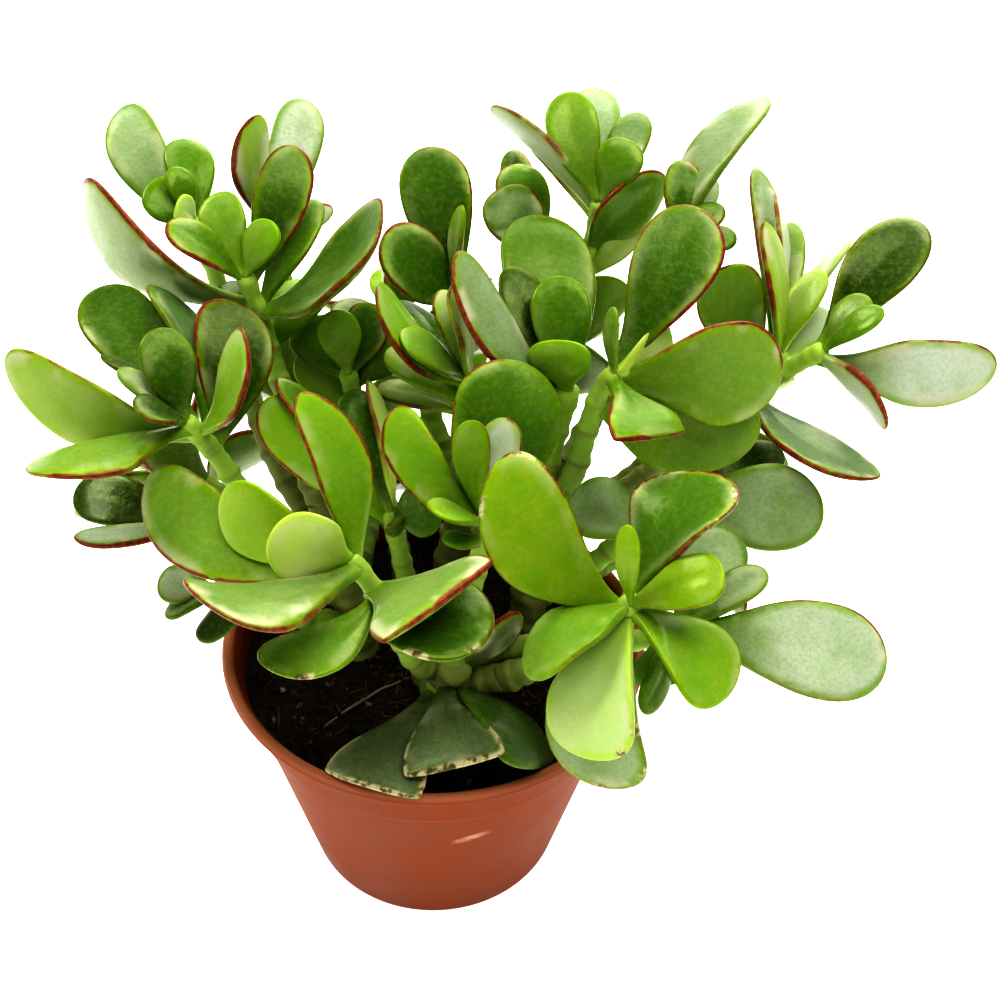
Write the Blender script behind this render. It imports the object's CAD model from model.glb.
import bmesh
import bpy
import numpy as np
from mathutils import Matrix


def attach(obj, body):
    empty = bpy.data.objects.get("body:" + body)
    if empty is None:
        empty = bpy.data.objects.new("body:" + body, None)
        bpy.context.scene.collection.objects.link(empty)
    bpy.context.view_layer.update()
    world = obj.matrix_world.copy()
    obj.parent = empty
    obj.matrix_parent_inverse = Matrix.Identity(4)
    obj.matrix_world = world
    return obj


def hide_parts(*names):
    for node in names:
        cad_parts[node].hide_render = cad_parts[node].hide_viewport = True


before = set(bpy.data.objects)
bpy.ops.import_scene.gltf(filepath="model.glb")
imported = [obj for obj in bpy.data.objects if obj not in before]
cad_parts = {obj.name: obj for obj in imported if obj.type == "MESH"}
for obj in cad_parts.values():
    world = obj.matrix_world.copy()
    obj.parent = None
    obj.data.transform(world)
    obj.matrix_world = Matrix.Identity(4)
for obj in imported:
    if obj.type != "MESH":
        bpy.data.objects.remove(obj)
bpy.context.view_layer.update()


# The studio: an eye above the front of the pot, a pale floor and soft light. The largest light stands
# behind and above, as a window would, so flat leaves carry a pale sheen and leaves that face the eye
# stay deep green. Weaker lights fill in, and the world glows low down, where pale walls would stand.
EYE = np.array([20.0, -311.0, 396.0])
EYE_PITCH = np.radians(38.4)
EYE_ROLL = np.radians(2.1)
FOCAL_PIXELS = 1300.0
FRAME_PIXELS = 1000.0
SENSOR_WIDTH = 36.0
PLANT_MIDDLE = (0.0, 0.0, 120.0)
SKY_MIDDLE = (0.05, 0.42, 0.9)
EXPOSURE = -0.36
MM = 0.001

sight = np.array([0.0, np.cos(EYE_PITCH), -np.sin(EYE_PITCH)])
above_sight = np.array([0.0, np.sin(EYE_PITCH), np.cos(EYE_PITCH)])
eye_right = np.cos(EYE_ROLL) * np.array([1.0, 0.0, 0.0]) + np.sin(EYE_ROLL) * above_sight
eye_up = -np.sin(EYE_ROLL) * np.array([1.0, 0.0, 0.0]) + np.cos(EYE_ROLL) * above_sight


def placement(axes, place):
    """A 4 x 4 matrix whose columns are the three directions in `axes` and the place, turned to metres."""
    matrix = np.identity(4)
    matrix[:3, :3] = np.array(axes).T
    matrix[:3, 3] = np.array(place) * MM
    return Matrix(matrix.tolist())


def linear(hex_colour):
    """An sRGB hex colour as linear red, green, blue and 1."""
    coded = np.array([int(hex_colour[i:i + 2], 16) for i in (1, 3, 5)]) / 255
    straight = np.where(coded <= 0.04045, coded / 12.92, ((coded + 0.055) / 1.055) ** 2.4)
    return (*straight.tolist(), 1.0)


def add_node(tree, kind, sockets=None, **settings):
    """One shader node, with its settings, and each socket given a value or another node's output."""
    node = tree.nodes.new("ShaderNode" + kind)
    for field, value in settings.items():
        setattr(node, field, value)
    for name, value in (sockets or {}).items():
        if isinstance(value, bpy.types.NodeSocket):
            tree.links.new(value, node.inputs[name])
        else:
            node.inputs[name].default_value = value
    return node


def new_finish(name, **uniform):
    """A material with its Principled shader, whose uniform values are set on the shader's own sockets."""
    material = bpy.data.materials.new(name)
    material.use_nodes = True
    shader = material.node_tree.nodes["Principled BSDF"]
    for socket, value in uniform.items():
        shader.inputs[socket.replace("_", " ")].default_value = value
    return material, material.node_tree, shader


eye = bpy.data.objects.new("eye", bpy.data.cameras.new("eye"))
eye.data.sensor_width = SENSOR_WIDTH
eye.data.lens = SENSOR_WIDTH * FOCAL_PIXELS / FRAME_PIXELS
eye.data.clip_end = 50.0
eye.matrix_world = placement([eye_right, eye_up, -sight], EYE)
bpy.context.scene.collection.objects.link(eye)
bpy.context.scene.camera = eye


def softbox(name, place, size, power):
    """A square soft light at `place`, in millimetres, that shines at the middle of the plant."""
    back = np.array(place, float) - PLANT_MIDDLE
    back /= np.linalg.norm(back)
    side = np.cross([0.0, 0.0, 1.0], back)
    side /= np.linalg.norm(side)
    light = bpy.data.objects.new(name, bpy.data.lights.new(name, "AREA"))
    light.data.shape = "SQUARE"
    light.data.size = size * MM
    light.data.energy = power
    light.matrix_world = placement([side, np.cross(back, side), back], place)
    bpy.context.scene.collection.objects.link(light)


softbox("window", place=(300, 1300, 1400), size=1500, power=38)
softbox("skylight", place=(-900, 350, 1300), size=500, power=10)
softbox("ceiling", place=(350, -150, 1500), size=800, power=14)
softbox("front_fill", place=(-500, -1400, 900), size=900, power=4)

studio = bpy.data.worlds.new("studio")
studio.use_nodes = True
studio_tree = studio.node_tree
backdrop = studio_tree.nodes["Background"]
outward = add_node(studio_tree, "TexCoord").outputs["Generated"]
overhead = add_node(studio_tree, "VectorMath", {0: outward, 1: SKY_MIDDLE}, operation="DOT_PRODUCT")
sky_glow = add_node(studio_tree, "MapRange", {
    "Value": overhead.outputs["Value"], "From Min": 0.1, "From Max": 1.0, "To Min": 0.04, "To Max": 0.2},
    interpolation_type="SMOOTHSTEP")
over_horizon = add_node(studio_tree, "SeparateXYZ", {"Vector": outward}).outputs["Z"]
wall_glow = add_node(studio_tree, "MapRange", {
    "Value": over_horizon, "From Min": 0.0, "From Max": 0.36, "To Min": 0.75, "To Max": 0.0},
    interpolation_type="SMOOTHSTEP")
glow = add_node(studio_tree, "Math", {
    0: sky_glow.outputs[0], 1: wall_glow.outputs[0]}, operation="ADD")
studio_tree.links.new(glow.outputs[0], backdrop.inputs["Strength"])
backdrop.inputs["Color"].default_value = (1.0, 1.0, 1.0, 1.0)
bpy.context.scene.world = studio
bpy.context.scene.view_settings.view_transform = "Standard"
bpy.context.scene.view_settings.look = "Very High Contrast"
bpy.context.scene.view_settings.exposure = EXPOSURE

# Matt white paper, rolled out nine metres each way, far past the edge of the view.
FLOOR_CORNERS = [(-9.0, -9.0, 0.0), (9.0, -9.0, 0.0), (9.0, 9.0, 0.0), (-9.0, 9.0, 0.0)]
floor_mesh = bpy.data.meshes.new("paper_floor")
floor_mesh.from_pydata(FLOOR_CORNERS, [], [(0, 1, 2, 3)])
paper, paper_tree, paper_shader = new_finish(
    "matt_white_paper", Roughness=0.9, Emission_Color=(1.0, 1.0, 1.0, 1.0), Emission_Strength=0.7)
paper_grain = add_node(paper_tree, "TexNoise", {"Scale": 900.0, "Detail": 2.0})
paper_white = add_node(paper_tree, "Mix", {
    0: paper_grain.outputs["Fac"], 6: linear("#f7f7f6"), 7: linear("#fdfdfc")}, data_type="RGBA")
paper_tree.links.new(paper_white.outputs[2], paper_shader.inputs["Base Color"])
floor_mesh.materials.append(paper)
floor = bpy.data.objects.new("paper_floor", floor_mesh)
bpy.context.scene.collection.objects.link(floor)


# The pot: one thin shell of terracotta-coloured polypropylene, injection moulded with a draught, a
# stepped collar that lets pots nest, and a rolled lip. Four drain holes go through its floor.
POT_FLOOR = 2.0
POT_FLOOR_RADIUS = 41.5
POT_PROFILE = [
    (POT_FLOOR_RADIUS, 0), (43.5, 0), (45, 1.2), (61.2, 72), (62.9, 73.4), (65.8, 88.4), (69.3, 89.3),
    (70, 90.6), (69.3, 92.4), (67.8, 93), (66.6, 92.2), (64.4, 88.4), (61.5, 73.4), (59.8, 72),
    (43.6, 3.2), (42.1, POT_FLOOR), (POT_FLOOR_RADIUS, POT_FLOOR)]
POT_ROUNDING = 1.1
POT_SIDES = 160
DRAIN_RADIUS = 4.5
DRAIN_CIRCLE = 30.0
SCUFF_PLACE = (14.8, -55.8, 57.7)
SCUFF_REACH = (11.5, 20.0, 3.4)
LIMED_FROM = 90.4
LIMED_TO = 92.4


def rounded(profile, reach, steps=5):
    """A profile whose inner corners are parabolas: each runs from `reach` before the corner to as far
    past it, or less where a side is short, as (1-s)^2 A + 2s(1-s) corner + s^2 B."""
    points = np.array(profile, float)
    before, corner, after = points[:-2], points[1:-1], points[2:]
    share_before = np.minimum(0.45, reach / np.linalg.norm(before - corner, axis=1))[:, None]
    share_after = np.minimum(0.45, reach / np.linalg.norm(after - corner, axis=1))[:, None]
    start = corner + (before - corner) * share_before
    end = corner + (after - corner) * share_after
    s = np.linspace(0, 1, steps)[None, :, None]
    arcs = (1 - s) ** 2 * start[:, None] + 2 * s * (1 - s) * corner[:, None] + s ** 2 * end[:, None]
    return np.vstack([points[:1], arcs.reshape(-1, 2), points[-1:]])


def sheet_faces(rows, columns):
    """The quads between the rows of a grid of points, whose last column joins its first."""
    corner = np.arange(rows * columns).reshape(rows, columns)
    beside = np.roll(corner, -1, axis=1)
    return np.stack([corner[:-1], beside[:-1], beside[1:], corner[1:]], -1).reshape(-1, 4)


def new_piece(name, vertices, faces, finishes, finish_of_face=None, smooth=True, weld=False):
    """A mesh object from points in millimetres, its place in its mesh. `weld` joins the seams."""
    mesh = bpy.data.meshes.new(name)
    mesh.from_pydata((vertices[:, :3] * MM).tolist(), [], faces)
    for finish in finishes:
        mesh.materials.append(finish)
    if finish_of_face is not None:
        mesh.polygons.foreach_set("material_index", np.asarray(finish_of_face, np.int32))
    mesh.polygons.foreach_set("use_smooth", np.full(len(mesh.polygons), smooth))
    if weld:
        join = bmesh.new()
        join.from_mesh(mesh)
        bmesh.ops.remove_doubles(join, verts=join.verts, dist=0.02 * MM)
        join.to_mesh(mesh)
        join.free()
    mesh.update()
    piece = bpy.data.objects.new(name, mesh)
    bpy.context.scene.collection.objects.link(piece)
    return piece


pot_profile = rounded(POT_PROFILE, POT_ROUNDING)
turn = 2 * np.pi * np.arange(POT_SIDES) / POT_SIDES
pot_wall = np.stack([
    pot_profile[:, :1] * np.cos(turn), pot_profile[:, :1] * np.sin(turn),
    np.repeat(pot_profile[:, 1:], POT_SIDES, axis=1)], -1)


def drained_quarter():
    """A quarter of the floor round its drain hole: the quarter's outline, out along x, round the arc and
    back along y, shrinks in straight lines to the hole's circle, on the underside, up the hole and back
    out on the upper side."""
    run = np.linspace(0, POT_FLOOR_RADIUS, 13)
    arc = np.linspace(0, np.pi / 2, POT_SIDES // 4 + 1)
    outline = np.vstack([
        np.stack([run, 0 * run], -1)[:-1],
        POT_FLOOR_RADIUS * np.stack([np.cos(arc), np.sin(arc)], -1),
        np.stack([0 * run, run[::-1]], -1)[1:-1]])
    centre = DRAIN_CIRCLE * np.sqrt(0.5) * np.ones(2)
    toward = outline - centre
    rim = centre + DRAIN_RADIUS * toward / np.linalg.norm(toward, axis=1)[:, None]
    shrink = np.array([0, 0.3, 0.6, 0.85, 0.97, 1, 1, 0.97, 0.85, 0.6, 0.3, 0])[:, None, None]
    height = np.array([0, 0, 0, 0, 0, 0.3, POT_FLOOR - 0.3, *[POT_FLOOR] * 5])
    flat = outline + (rim - outline) * shrink
    return np.dstack([flat, np.repeat(height[:, None], len(outline), axis=1)])


quarter = drained_quarter()
quarter_faces = sheet_faces(*quarter.shape[:2])[:, ::-1]
pot_faces = sheet_faces(len(pot_profile), POT_SIDES).tolist()
pot_points = [pot_wall.reshape(-1, 3)]
for step in range(4):
    cosine, sine = np.cos(step * np.pi / 2), np.sin(step * np.pi / 2)
    turned_quarter = quarter @ np.array([[cosine, sine, 0], [-sine, cosine, 0], [0, 0, 1]])
    pot_faces += (quarter_faces + sum(len(points) for points in pot_points)).tolist()
    pot_points.append(turned_quarter.reshape(-1, 3))

# Moulded polypropylene: a satin skin, slightly mottled in the colour, dulled by dried splashes and dust.
# A pale diagonal scuff shows on the front, and watering has left the top of the lip paler.
plastic, plastic_tree, plastic_shader = new_finish(
    "moulded_terracotta_polypropylene", Roughness=0.55, IOR=1.49, Subsurface_Weight=0.06,
    Subsurface_Scale=0.002, Specular_IOR_Level=0.22, Specular_Tint=(1.0, 0.86, 0.7, 1.0))
plastic_place = add_node(plastic_tree, "TexCoord").outputs["Object"]
mottle = add_node(plastic_tree, "TexNoise", {"Vector": plastic_place, "Scale": 38.0, "Detail": 4.0})
plastic_colour = add_node(plastic_tree, "Mix", {
    0: mottle.outputs["Fac"], 6: linear("#763612"), 7: linear("#90481e")}, data_type="RGBA")
dust = add_node(plastic_tree, "TexNoise", {
    "Vector": plastic_place, "Scale": 160.0, "Detail": 6.0, "Roughness": 0.75})
dust_share = add_node(plastic_tree, "MapRange", {
    "Value": dust.outputs["Fac"], "From Min": 0.52, "From Max": 0.82, "To Min": 0.0, "To Max": 0.3})
dusty = add_node(plastic_tree, "Mix", {
    0: dust_share.outputs[0], 6: plastic_colour.outputs[2], 7: linear("#8a5840")}, data_type="RGBA")
scuff_place = add_node(plastic_tree, "Mapping", {
    "Vector": plastic_place, "Location": np.multiply(SCUFF_PLACE, MM), "Rotation": (0.0, -0.29, 0.2),
    "Scale": np.multiply(SCUFF_REACH, MM)}, vector_type="TEXTURE")
scuff = add_node(plastic_tree, "TexGradient", {
    "Vector": scuff_place.outputs[0]}, gradient_type="SPHERICAL")
scratch_place = add_node(plastic_tree, "Mapping", {
    "Vector": plastic_place, "Rotation": (0.0, 0.5, 0.0), "Scale": (0.25, 0.25, 1.0)})
scratch = add_node(plastic_tree, "TexNoise", {
    "Vector": scratch_place.outputs[0], "Scale": 900.0, "Detail": 4.0, "Roughness": 0.7})
scuff_edge = add_node(plastic_tree, "Math", {
    0: scuff.outputs["Fac"], 1: scratch.outputs["Fac"]}, operation="MULTIPLY")
scuff_share = add_node(plastic_tree, "MapRange", {
    "Value": scuff_edge.outputs[0], "From Min": 0.17, "From Max": 0.42, "To Min": 0.0, "To Max": 0.6})
scuffed = add_node(plastic_tree, "Mix", {
    0: scuff_share.outputs[0], 6: dusty.outputs[2], 7: linear("#d4a88c")}, data_type="RGBA")
plastic_height = add_node(plastic_tree, "SeparateXYZ", {"Vector": plastic_place}).outputs["Z"]
limed_share = add_node(plastic_tree, "MapRange", {
    "Value": plastic_height, "From Min": LIMED_FROM * MM, "From Max": LIMED_TO * MM, "To Min": 0.0,
    "To Max": 0.6}, interpolation_type="SMOOTHSTEP")
limed = add_node(plastic_tree, "Mix", {
    0: limed_share.outputs[0], 6: scuffed.outputs[2], 7: linear("#c88a6c")}, data_type="RGBA")
plastic_tree.links.new(limed.outputs[2], plastic_shader.inputs["Base Color"])
plastic_rough = add_node(plastic_tree, "MapRange", {
    "Value": mottle.outputs["Fac"], "From Min": 0.3, "From Max": 0.7, "To Min": 0.48, "To Max": 0.62})
plastic_tree.links.new(plastic_rough.outputs[0], plastic_shader.inputs["Roughness"])
skin_waves = add_node(plastic_tree, "Bump", {
    "Height": dust.outputs["Fac"], "Strength": 0.12, "Distance": 0.0003})
plastic_tree.links.new(skin_waves.outputs[0], plastic_shader.inputs["Normal"])

pot = new_piece("moulded_pot", np.vstack(pot_points), pot_faces, [plastic], weld=True)
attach(pot, "root")
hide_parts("pot")


# The soil: moist peat potting mix, pressed in by hand to about eleven millimetres under the lip. Its top
# is a rough relief of clods, with crumbs, brown fibres, bark husks and one pale dry twig lying on it. Its
# wall keeps 0.3 mm of room inside the pot.
SOIL_TOP = 81.5
SOIL_SWELL = 1.1
SOIL_FLOOR = POT_FLOOR + 0.3
COLLAR_FOOT = (61.2, 73.7)
COLLAR_TOP = (64.1, 88.7)
SOIL_RIM = np.interp(SOIL_TOP, (COLLAR_FOOT[1], COLLAR_TOP[1]), (COLLAR_FOOT[0], COLLAR_TOP[0]))
SOIL_WALL = [(0.3, SOIL_FLOOR), (41.8, SOIL_FLOOR), (43.3, 3.5), (59.5, 72.3), COLLAR_FOOT]
SOIL_MIDDLE = 0.4
SOIL_RINGS = 110
SOIL_SIDES = 240
SOIL_SEED = 7
chance = np.random.default_rng(SOIL_SEED)


def waves(x, y, length, seed):
    """Soft relief between about -1 and 1: five sine waves across x and y added up, over 2.2, each
    `length` long and turned and shifted by the seed."""
    turned = np.random.default_rng(seed).uniform(0, 2 * np.pi, (5, 2))
    total = 0
    for angle, shift in turned:
        total = total + np.sin((x * np.cos(angle) + y * np.sin(angle)) * 2 * np.pi / length + shift)
    return total / 2.2


def soil_height(x, y):
    """The peat's top: a slow swell, clods 9 and 4 mm across and grit of 2 mm, all calm at the rim."""
    swell = SOIL_SWELL * (np.sin(x / 9) * np.cos(y / 11) + 0.5 * np.sin((x + y) / 6))
    clods = 0.55 * np.abs(waves(x, y, 9.0, 1)) + 0.5 * np.abs(waves(x, y, 4.1, 2))
    grit = 0.28 * waves(x, y, 1.9, 3)
    calm = np.clip((SOIL_RIM - np.hypot(x, y)) / 6, 0, 1)
    return SOIL_TOP + (swell + clods + grit - 0.5) * calm


soil_turn = 2 * np.pi * np.arange(SOIL_SIDES) / SOIL_SIDES
wall_radius, wall_height = np.array(SOIL_WALL).T[..., None]
wall_grid = np.stack([
    wall_radius * np.cos(soil_turn), wall_radius * np.sin(soil_turn), wall_height + 0 * soil_turn], -1)
top_radius = np.linspace(SOIL_RIM, SOIL_MIDDLE, SOIL_RINGS)[:, None]
top_x, top_y = top_radius * np.cos(soil_turn), top_radius * np.sin(soil_turn)
top_grid = np.stack([top_x, top_y, soil_height(top_x, top_y)], -1)


def closed_skin(rings):
    """A tube of rings, with a fan of triangles at each end: its points, with any further values that the
    rings carry, and its faces. Each ring runs anticlockwise round the way the rows go."""
    rows, sides, depth = rings.shape
    points = np.vstack([rings.reshape(-1, depth), rings[0].mean(0), rings[-1].mean(0)])
    around = np.arange(sides)
    beyond = (around + 1) % sides
    last = (rows - 1) * sides
    start_fan = np.stack([beyond, around, np.full(sides, rows * sides)], -1)
    end_fan = np.stack([last + around, last + beyond, np.full(sides, rows * sides + 1)], -1)
    return points, sheet_faces(rows, sides).tolist() + start_fan.tolist() + end_fan.tolist()


def joined(skins):
    """Several skins as one: their points stacked, and their faces counted on."""
    offset, points, faces = 0, [], []
    for skin_points, skin_faces in skins:
        points.append(skin_points)
        faces += [[corner + offset for corner in face] for face in skin_faces]
        offset += len(skin_points)
    return np.vstack(points), faces


# Peat: matt, nearly black where moist, with brown, torn plant matter a millimetre or two across.
peat, peat_tree, peat_shader = new_finish("moist_peat", Roughness=0.92)
peat_place = add_node(peat_tree, "TexCoord").outputs["Object"]
peat_bits = add_node(peat_tree, "TexNoise", {
    "Vector": peat_place, "Scale": 420.0, "Detail": 8.0, "Roughness": 0.7})
peat_share = add_node(peat_tree, "MapRange", {
    "Value": peat_bits.outputs["Fac"], "From Min": 0.42, "From Max": 0.7})
peat_colour = add_node(peat_tree, "Mix", {
    0: peat_share.outputs[0], 6: linear("#140e09"), 7: linear("#4a3423")}, data_type="RGBA")
peat_tree.links.new(peat_colour.outputs[2], peat_shader.inputs["Base Color"])
peat_bump = add_node(peat_tree, "Bump", {
    "Height": peat_bits.outputs["Fac"], "Strength": 0.9, "Distance": 0.0012})
peat_tree.links.new(peat_bump.outputs[0], peat_shader.inputs["Normal"])

soil = new_piece("peat_plug", *closed_skin(np.concatenate([wall_grid, top_grid])), [peat])
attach(soil, "root")
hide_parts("soil")

# Crumbs: torn lumps of peat, one to three millimetres, scattered over the top. Each is a twenty-sided
# lump with its corners pushed in and out.
CRUMBS = 1500
CRUMB_REACH = 61.0
GOLDEN = (1 + 5 ** 0.5) / 2
lump_corners = np.array([
    (-1, GOLDEN, 0), (1, GOLDEN, 0), (-1, -GOLDEN, 0), (1, -GOLDEN, 0),
    (0, -1, GOLDEN), (0, 1, GOLDEN), (0, -1, -GOLDEN), (0, 1, -GOLDEN),
    (GOLDEN, 0, -1), (GOLDEN, 0, 1), (-GOLDEN, 0, -1), (-GOLDEN, 0, 1)])
lump_corners = lump_corners / np.linalg.norm(lump_corners[0])
LUMP_FACES = np.array([
    (0, 11, 5), (0, 5, 1), (0, 1, 7), (0, 7, 10), (0, 10, 11), (1, 5, 9), (5, 11, 4), (11, 10, 2),
    (10, 7, 6), (7, 1, 8), (3, 9, 4), (3, 4, 2), (3, 2, 6), (3, 6, 8), (3, 8, 9), (4, 9, 5), (2, 4, 11),
    (6, 2, 10), (8, 6, 7), (9, 8, 1)])


def strewn(count, reach):
    """Places strewn evenly over the soil, up to `reach` millimetres from its middle."""
    radius = reach * np.sqrt(chance.uniform(0, 1, count))
    angle = chance.uniform(0, 2 * np.pi, count)
    return radius * np.cos(angle), radius * np.sin(angle)


def scattered_lumps(x, y, size, raised):
    """Lumps at x, y on the soil: each corner of the twenty-sided lump times its own length, stretched on
    three axes, turned about +Z, with its middle raised by `raised` of its size."""
    count = len(x)
    corner = lump_corners[None] * chance.uniform(0.6, 1.15, (count, 12, 1)) * size[:, None, None] / 2
    corner = corner * chance.uniform(0.55, 1.25, (count, 1, 3))
    spin = chance.uniform(0, 2 * np.pi, count)[:, None]
    turned = np.stack([
        corner[..., 0] * np.cos(spin) - corner[..., 1] * np.sin(spin),
        corner[..., 0] * np.sin(spin) + corner[..., 1] * np.cos(spin), corner[..., 2]], -1)
    base = np.stack([x, y, soil_height(x, y) + raised * size], -1)
    faces = LUMP_FACES[None] + 12 * np.arange(count)[:, None, None]
    return (turned + base[:, None]).reshape(-1, 3), faces.reshape(-1, 3).tolist()


crumb_x, crumb_y = strewn(CRUMBS, CRUMB_REACH)
crumb_size = 0.9 + 2.4 * chance.uniform(0, 1, CRUMBS) ** 3
crumbs = new_piece(
    "peat_crumbs", *scattered_lumps(crumb_x, crumb_y, crumb_size, raised=0.12), [peat], smooth=False)
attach(crumbs, "root")

# Fibres, husks of brown bark, a few paler chips, and the twig. Fibres and twig are strands that lie on
# the peat along a shallow bow: brown, dry, matt and a little lighter than what they lie on.
FIBRES = 200
FIBRE_REACH = 58.0
HUSKS = 340
HUSK_REACH = 60.0
CHIPS = [(-54.9, -15.9), (-48.4, -19.6), (-41.9, -25.8), (-49.4, -31.3), (-30.5, -38.0), (-20.0, -24.0),
         (9.3, -50.9), (14.1, -55.0), (4.5, -47.2), (12.0, -49.0), (40.0, 20.0), (-35.0, 30.0)]
TWIG = ((-33.2, -34.8), (-7.0, -11.2))
TWIG_BOW = 1.6
TWIG_THICKNESS = 0.5


def strand(x, y, heading, length, bow, thickness, sides=5, steps=9):
    """A thin tube on the soil: its line is a parabola of height `bow` beside the heading, it lies half
    on the relief and half level, and it tapers to half its thickness at both ends."""
    s = np.linspace(-0.5, 0.5, steps)
    along, beside = s * length, bow * (1 - 4 * s ** 2)
    line_x = x + along * np.cos(heading) - beside * np.sin(heading)
    line_y = y + along * np.sin(heading) + beside * np.cos(heading)
    line_z = soil_height(line_x, line_y) + 0.9 * thickness
    line_z = 0.5 * line_z + 0.5 * line_z.max()
    around = 2 * np.pi * np.arange(sides) / sides
    reach = thickness * (1 - 2 * s ** 2)[:, None]
    return closed_skin(np.stack([
        line_x[:, None] - reach * np.sin(heading) * np.cos(around),
        line_y[:, None] + reach * np.cos(heading) * np.cos(around),
        line_z[:, None] + reach * np.sin(around)], -1))


def dry_finish(name, roughness, scale, dark, pale):
    """A dry, matt finish whose colour wanders between dark and pale by soft noise."""
    finish, tree, shader = new_finish(name, Roughness=roughness)
    place = add_node(tree, "TexCoord").outputs["Object"]
    bits = add_node(tree, "TexNoise", {"Vector": place, "Scale": scale, "Detail": 3.0})
    colour = add_node(tree, "Mix", {
        0: bits.outputs["Fac"], 6: linear(dark), 7: linear(pale)}, data_type="RGBA")
    tree.links.new(colour.outputs[2], shader.inputs["Base Color"])
    return finish


dry_fibre = dry_finish("dry_plant_fibre", roughness=0.8, scale=130.0, dark="#352418", pale="#866a4e")
bark_chip = dry_finish("weathered_bark_chip", roughness=0.7, scale=500.0, dark="#5c4838", pale="#a8927a")

fibre_x, fibre_y = strewn(FIBRES, FIBRE_REACH)
fibre_heading = chance.uniform(0, np.pi, FIBRES)
fibre_length = chance.uniform(3, 9, FIBRES)
fibre_bow = chance.uniform(-1.5, 1.5, FIBRES)
fibre_thickness = chance.uniform(0.12, 0.3, FIBRES)
fibre_rows = zip(fibre_x, fibre_y, fibre_heading, fibre_length, fibre_bow, fibre_thickness)
fibres = new_piece("peat_fibres", *joined([strand(*row) for row in fibre_rows]), [dry_fibre])
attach(fibres, "root")

husk_x, husk_y = strewn(HUSKS, HUSK_REACH)
husks = new_piece(
    "bark_husks", *scattered_lumps(husk_x, husk_y, chance.uniform(0.7, 2.0, HUSKS), raised=0.2),
    [dry_fibre], smooth=False)
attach(husks, "root")

chip_x, chip_y = np.array(CHIPS).T
chips = new_piece(
    "bark_chips", *scattered_lumps(chip_x, chip_y, chance.uniform(1.4, 3.2, len(CHIPS)), raised=0.3),
    [bark_chip], smooth=False)
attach(chips, "root")

twig_x, twig_y = np.mean(TWIG, axis=0)
twig_run = np.subtract(TWIG[1], TWIG[0])
twig = new_piece("dry_twig", *strand(
    twig_x, twig_y, np.arctan2(twig_run[1], twig_run[0]), np.hypot(*twig_run), TWIG_BOW, TWIG_THICKNESS,
    sides=8, steps=20), [bark_chip])
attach(twig, "root")


# The trunks and their branching. A young jade plant's wood is thick, soft and grey-green, ringed where
# old leaf pairs fell, with a few tan scars. Four cuttings stand in the pot, and every shoot forks from
# one of them or stands in the soil by itself.
TRUNKS = {
    "front": dict(start=(4, -22, 78), bend=(5, -25, 94), end=(8, -30, 110), radii=(8, 6.2)),
    "left": dict(start=(-26, 2, 78), bend=(-28, 6, 105), end=(-34, 8, 130), radii=(6.5, 5)),
    "right": dict(start=(30, 8, 78), bend=(31, 10, 110), end=(36, 14, 140), radii=(6.5, 5)),
    "back": dict(start=(2, 38, 78), bend=(6, 40, 110), end=(14, 44, 140), radii=(6.5, 5)),
}
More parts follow.
